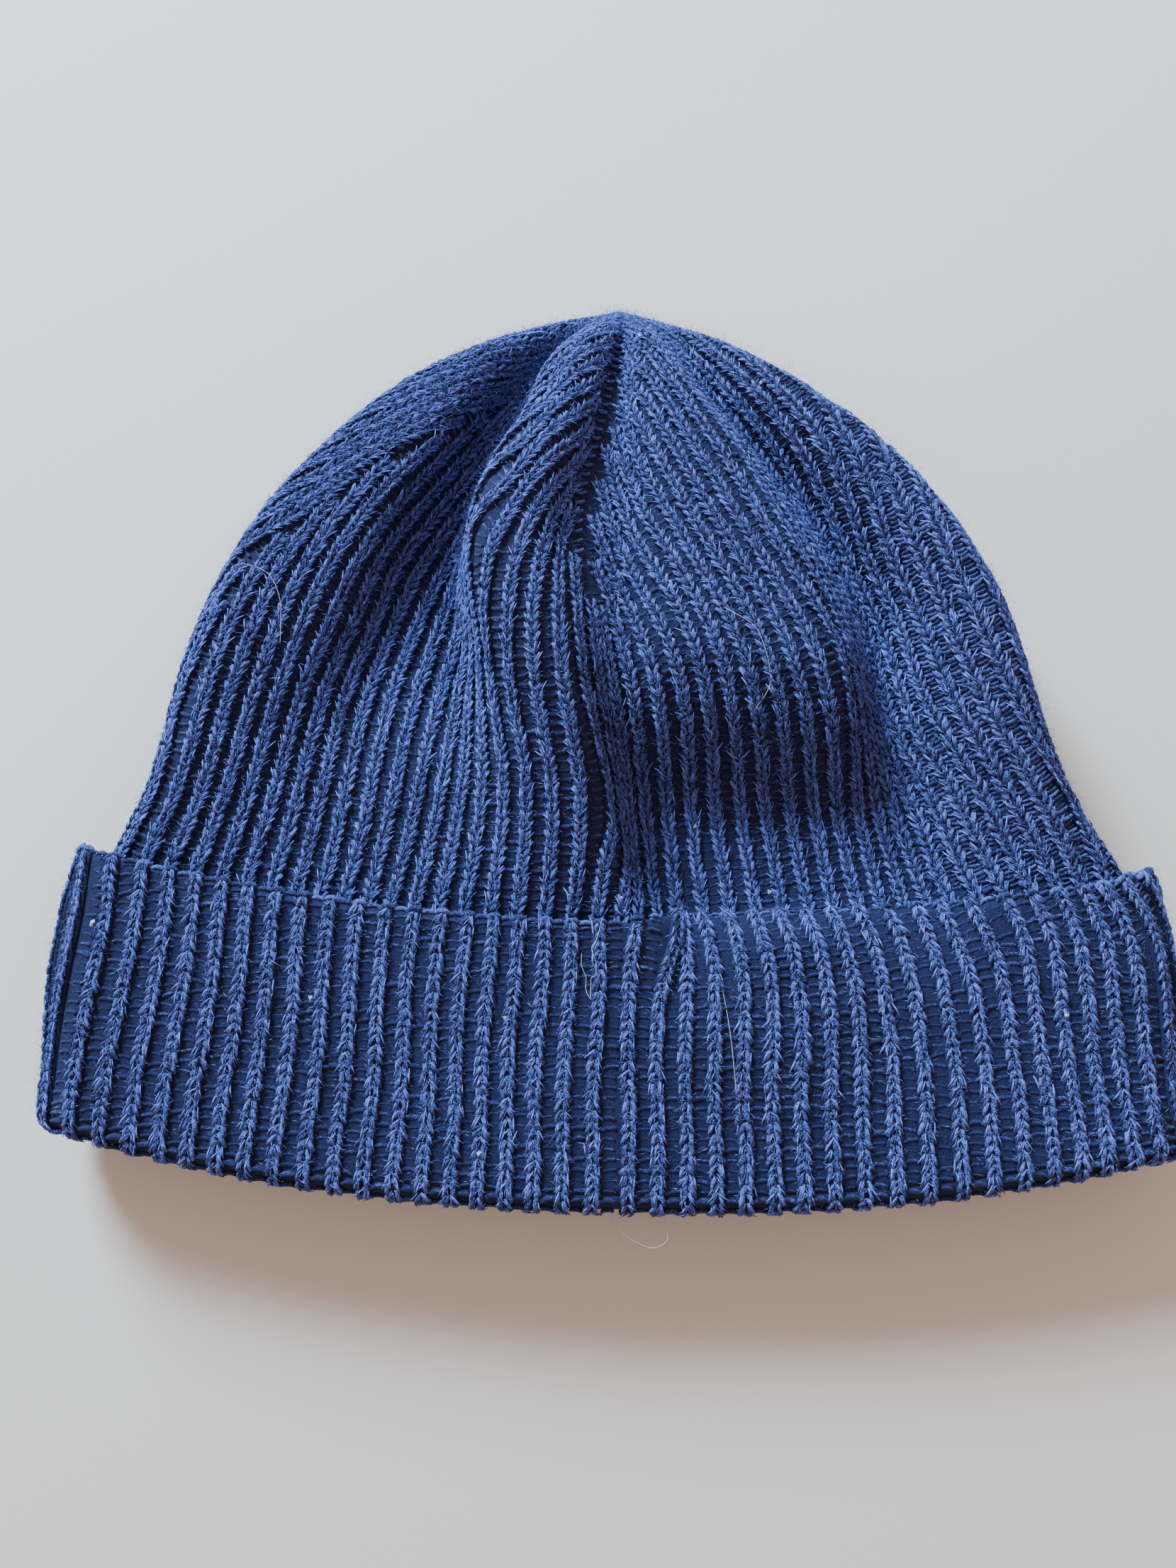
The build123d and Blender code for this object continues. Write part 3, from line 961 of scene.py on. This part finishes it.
folds_made = []
for (sector, run), wales in folds.items():
    wales = in_order(wales)
    fold_cloth, body_side, cuff_side = Cloth(), Cloth(), Cloth()
    cuff_slab(fold_cloth, wales, FOLD)
    for i in wales:
        add_cuff_ribs(fold_cloth, i, FOLD)
        for side, stages in ((body_side, (0.0, 0.5)), (cuff_side, (0.5, 1.0))):
            add_cuff_stitches(i, stages, side, side, FINE_LEGS, side, FOLD_PURL_HEIGHT)
    start, end = crossing(sector, run, wales)
    bend = add_piece(f"fold_cloth_{sector}_{run}", fold_cloth, GROUND_PAINTED_SHADE, None)
    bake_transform(bend)
    folds_made += [bend, add_piece(f"fold_body_side_{sector}_{run}", body_side, YARN),
                   add_piece(f"fold_cuff_side_{sector}_{run}", cuff_side, YARN,
                             f"turnup_{sector}")]

# ---- inside the mouth ----
parts = {kind: Cloth() for kind in ("ribs", "stitches", "purls")}
for i in range(WALES):
    add_cuff_ribs(parts["ribs"], i, MOUTH)
    add_cuff_stitches(i, MOUTH, parts["stitches"], parts["purls"], PLAIN_LEGS)
add_set(parts, "mouth", "")

# ---- brushed wool: short fibres on the yarn, longer ones that stand off it ----
BODY_FIBRES = 24000      # in each of the body's four pieces of fuzz
CUFF_FIBRES = 8          # at each place on the cuff
LONG_SHARE = 0.2         # of the fibres stand off the yarn
FIBRE_BOW = 0.12         # of a fibre's length


def needle_template():
    """A fibre: a closed needle, a unit long, along its first axis."""
    turn = np.arange(3) * 2 * math.pi / 3
    middle = np.stack([np.full(3, 0.5), np.cos(turn), np.sin(turn)], axis=1)
    ring = np.arange(1, 4)
    return (np.concatenate([[[0, 0, 0]], middle, [[1, 0, 0]]]),
            np.concatenate([fan(ring, 0, True), fan(ring, 4)]))


def add_fibres(cloth, place, lean, out, length, thickness):
    """Fibres from their places, that lean one way, rise off the fabric and bow in their middle."""
    points, faces = needle_template()
    count = len(place)
    heading = unit(lean)
    side = unit(np.cross(heading, out) + 1e-6)
    heading, side, up = (field[:, None] for field in (heading, side, np.cross(side, heading)))
    length = length[:, None, None]
    thickness = thickness[:, None, None]
    bowed = np.array([0.0, 1, 1, 1, 0])[:, None]
    moved = (place[:, None] + heading * points[:, :1] * length
             + side * points[:, 1:2] * thickness + up * points[:, 2:] * thickness
             + bowed * up * length * FIBRE_BOW)
    step = np.arange(count)[:, None, None] * len(points)
    cloth.add(moved, triangles=(faces + step).reshape(-1, 3),
              shade=np.repeat(chance.uniform(-0.3, 1.6, count), len(points)))


def scatter_fibres(places, outs, number):
    """A cloth of fibres at random among the given places, near the tops of the stitches."""
    pick = chance.integers(0, len(places), number)
    out = unit(outs[pick] + chance.normal(0, 0.25, (number, 3)))
    lean = chance.normal(0, 1, (number, 3))
    lean = unit(lean - out * (lean * out).sum(axis=1, keepdims=True))
    is_long = chance.random(number) < LONG_SHARE
    rise = np.where(is_long, chance.uniform(0.3, 1.6, number), chance.uniform(-0.1, 0.35, number))
    length = np.where(is_long, chance.uniform(1.6, 4.2, number), chance.uniform(0.8, 2.0, number))
    place = places[pick] + lean * chance.normal(0, 0.8, (number, 1))
    place = place + out * chance.uniform(1.3, 1.75, (number, 1))
    lean = unit(lean + out * rise[:, None])
    clear = (place + lean * length[:, None])[:, 2] > 0.3
    thickness = np.where(is_long, 0.022, 0.06)
    cloth = Cloth()
    add_fibres(cloth, *some((place, lean, out, length, thickness), clear))
    return cloth


def surface_places(lines):
    """Places and ways out along the wales, half a stitch apart."""
    spots = [spaced(points, normals, COURSE / 2) for points, normals in lines]
    return [np.concatenate([spot[field] for spot in spots]) for field in (0, 3)]


body_lines = []
for i in range(WALES):
    shares, alive = ring_shares(i + 0.5)
    points, normals = on_fabric(shares)
    shown = alive & (points[:, 1] > HEM_V)
    if shown.sum() > 4:
        body_lines.append((points[shown], normals[shown]))
places, outs = surface_places(body_lines)
for part in range(4):
    add_piece(f"body_fuzz_{part + 1}", scatter_fibres(places, outs, BODY_FIBRES), HALO)
for sector, wales in sectors.items():
    places, outs = surface_places([cuff_line(i, CUFF) for i in wales])
    add_piece(f"cuff_fuzz_{sector}", scatter_fibres(places, outs, CUFF_FIBRES * len(places)), HALO,
              f"turnup_{sector}")

# ---- the sewing: four dart seams, the back seam and the tie that draws the crown shut ----
DART_STARTS = {"front": 28.0, "right": 40.0, "back": 44.0, "left": 44.0}
STITCH_STEP = 2.4        # between the sewing stitches of a seam
SEAM_HEIGHT = 1.0        # of the sewing yarn above the middle of the cloth
TIE_YARN = 0.9           # thickness of the crown tie's yarn


def sewn_line(q, low, high, slant):
    """Short slanting stitches of sewing yarn along the line at q, between two heights."""
    chosen = (STATIONS > low) & (STATIONS < high)
    line = some(on_fabric(ring_shares(q)[0]), chosen)
    place, across, along, out = spaced(*line, STITCH_STEP)
    turned = unit(across + slant * along)
    seam = Cloth()
    stamp(seam, PURL, place + out * SEAM_HEIGHT, turned, np.cross(out, turned), out,
          chance.uniform(0.2, 0.9, len(place)), 0.85)
    return seam


def add_thread(name, cloth, node):
    """A piece of sewing yarn, in place of a node of the CAD."""
    piece = add_piece(name, cloth, SEAM)
    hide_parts(node)
    return piece


def crown_tie():
    """Three turns of yarn round the drawn-in tip, and the tucked knot they end in."""
    tie = Cloth()
    middle = RINGS[-1].mean(axis=0)
    turn = np.linspace(0, 2 * math.pi, 25)
    for lift, wide, tall in ((-0.6, 2.6, 1.7), (0.3, 2.2, 1.4), (1.0, 1.6, 1.0)):
        loop = np.stack([wide * np.cos(turn), lift + 0.25 * np.sin(3 * turn),
                         tall * np.sin(turn)], axis=1)
        add_tube(tie, middle + loop, np.tile([0.0, 1.0, 0.0], (len(turn), 1)),
                 unit(loop * np.array([1, 0, 1])), TIE_YARN, TIE_YARN, shade=0.6, taper=False)
    knot = np.stack([0.9 * np.sin(2 * turn), 1.5 + 0.5 * np.sin(3 * turn), 0.8 * np.cos(turn)],
                    axis=1)
    heading = unit(np.gradient(knot, axis=0))
    side = unit(np.cross(heading, np.array([0.3, 1.0, 0.2])))
    add_tube(tie, middle + knot, side, np.cross(side, heading), TIE_YARN, TIE_YARN, shade=0.8)
    return tie


for dart, (name, low) in enumerate(DART_STARTS.items()):
    add_thread(f"dart_stitching_{name}", sewn_line(dart * QUARTER, low, TIP_V, 0.5),
                             f"dart_seam_{name}")
back_seam = sewn_line(2 * QUARTER, FOLD_V, DART_STARTS["back"], 0.35)
add_thread("back_stitching", back_seam, "back_seam")
add_thread("crown_knot", crown_tie(), "crown_tie")

# ---- loose pale hairs and specks of lint on the wool ----
# Across and up the hat, in millimetres, for hairs and specks on the cuff and on the body.
CUFF_HAIRS = [
    [(-7, -55), (-7, -57), (-6, -60), (-6, -62), (-5, -64), (-5, -62), (-5, -60), (-4, -59),
     (-4, -57), (-5, -54), (-4, -52), (-3, -48)],
    [(16, -46), (19, -53), (21, -59), (23, -71), (24, -82)],
]
BODY_HAIRS = [
    [(-89, 18), (-91, 26), (-84, 27), (-76, 24), (-73, 16), (-73, 9)],
    [(21, 17), (28, 12), (31, 2), (28, -4)],
]
FOLD_HAIRS = [[(1, -98), (0, -105), (3, -109), (8, -111), (11, -109), (10, -104)]]
CUFF_LINT = [(-107, -51, 1.0), (-61, -65, 0.55), (-26, -94, 0.6), (90, -65, 0.5),
             (-22, -68, 0.5)]
BODY_LINT = [(-57, 21, 0.6), (3, 88, 0.5), (30, 72, 0.5), (17, -26, 0.5), (33, -40, 0.6),
             (1, -43, 0.4)]


HAIR_WIDTH = 0.11


def surface_height(x, y):
    """How high the middle of the upper cloth lies at a place seen from above."""
    gap = np.hypot(RINGS[..., 0] - x, RINGS[..., 1] - y) + 1000 * (NORMALS[..., 2] < 0.2)
    nearest = np.unravel_index(np.argmin(gap), gap.shape)
    return RINGS[nearest][2]


def hairs(lines, lift):
    """Thin pale hairs that lie on the cloth and lift off it a little here and there."""
    cloth = Cloth()
    for line in lines:
        whole = np.arange(len(line))
        at = np.linspace(0, whole[-1], 8 * len(line))
        x, y = (curve_through(whole, field, at) for field in zip(*line))
        z = np.array([surface_height(*place) for place in zip(x, y)]) + lift
        z = np.convolve(np.pad(z, 3, mode="edge"), np.ones(7) / 7, "valid")
        points = np.stack([x, y, z + 0.3 * np.sin(at * 2.1)], axis=1)
        heading = unit(np.gradient(points, axis=0))
        side = unit(np.cross(heading, UP))
        add_tube(cloth, points, side, np.cross(side, heading), HAIR_WIDTH, HAIR_WIDTH, sides=4,
                 shade=chance.uniform(0.0, 0.6))
    return cloth


def lint(specks, lift):
    """Specks of lint, each a few crossed short fibres pressed into a crumb."""
    cloth = Cloth()
    count = 7
    for x, y, size in specks:
        place = np.array([x, y, surface_height(x, y) + lift])
        across = unit(chance.normal(0, 1, (count, 3)) * np.array([1, 1, 0.4]))
        side = unit(np.cross(across, UP))
        start = place + chance.normal(0, 0.15 * size, (count, 3))
        stamp(cloth, PURL, start, across, side, np.cross(across, side),
              chance.uniform(0.3, 1.5, count), size * 0.55)
    return cloth


BODY_TOP = LEG_HEIGHT + 0.9
CUFF_TOP = PLY_STEP + BODY_TOP
add_piece("loose_hair_cuff", hairs(CUFF_HAIRS, CUFF_TOP), HAIR, "turnup_front")
add_piece("loose_hair_body", hairs(BODY_HAIRS, BODY_TOP), HAIR)
add_piece("loose_hair_fold", hairs(FOLD_HAIRS, BODY_TOP), HAIR)
add_piece("lint_cuff", lint(CUFF_LINT, CUFF_TOP - 0.3), HAIR, "turnup_front")
add_piece("lint_body", lint(BODY_LINT, BODY_TOP - 0.3), HAIR)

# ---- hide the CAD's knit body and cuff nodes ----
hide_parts("body_knit")
for sector, wales in sectors.items():
    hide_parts(f"cuff_{sector}")


# ---- studio ----
CAMERA_PLACE = (-0.0053, -0.073, 0.254)
CAMERA_PITCH = 77.0      # degrees below the horizon
CAMERA_YAW = 1.3
CAMERA_LENS = 26.0
WINDOW_PLACE = (-0.66, 1.03, 0.70)
WINDOW_COLOUR = (0.62, 0.84, 1.0)
SKY_COLOUR = (1.0, 0.72, 0.60, 1)
FLOOR_COLOUR = (0.62, 0.60, 0.57, 1)
FLOOR_HALF = 4.0         # metres


def link(name, data, place, turn):
    """Puts a camera or a lamp in the scene."""
    thing = bpy.data.objects.new(name, data)
    bpy.context.scene.collection.objects.link(thing)
    thing.location = place
    thing.rotation_euler = turn
    return thing


def add_camera():
    lens = bpy.data.cameras.new("camera")
    lens.lens = CAMERA_LENS
    lens.sensor_width = 36.0
    lens.clip_start = 0.01
    turn = (math.radians(90 - CAMERA_PITCH), 0, math.radians(CAMERA_YAW))
    bpy.context.scene.camera = link("camera", lens, CAMERA_PLACE, turn)


def add_light(name, place, size, power, colour):
    """A soft square lamp that faces the hat."""
    lamp = bpy.data.lights.new(name, "AREA")
    lamp.size = size
    lamp.energy = power
    lamp.color = colour
    flat = math.hypot(place[0], place[1])
    link(name, lamp, place, (math.atan2(flat, place[2]), 0, math.atan2(place[0], -place[1])))


def add_floor():
    material = bpy.data.materials.new("studio_floor")
    material.use_nodes = True
    set_inputs(material.node_tree, material.node_tree.nodes["Principled BSDF"],
               {"Base Color": FLOOR_COLOUR, "Roughness": 0.85})
    mesh = bpy.data.meshes.new("studio_floor")
    side = FLOOR_HALF
    mesh.from_pydata([(-side, -side, 0), (side, -side, 0), (side, side, 0), (-side, side, 0)], [],
                     [(0, 1, 2, 3)])
    mesh.materials.append(material)
    floor = bpy.data.objects.new("studio_floor", mesh)
    bpy.context.scene.collection.objects.link(floor)


def add_sky(colour, strength):
    world = bpy.data.worlds.new("studio")
    world.use_nodes = True
    set_inputs(world.node_tree, world.node_tree.nodes["Background"],
               {"Color": colour, "Strength": strength})
    bpy.context.scene.world = world


add_camera()
add_floor()
add_sky(SKY_COLOUR, strength=0.86)
add_light("window", WINDOW_PLACE, size=0.42, power=72.0, colour=WINDOW_COLOUR)
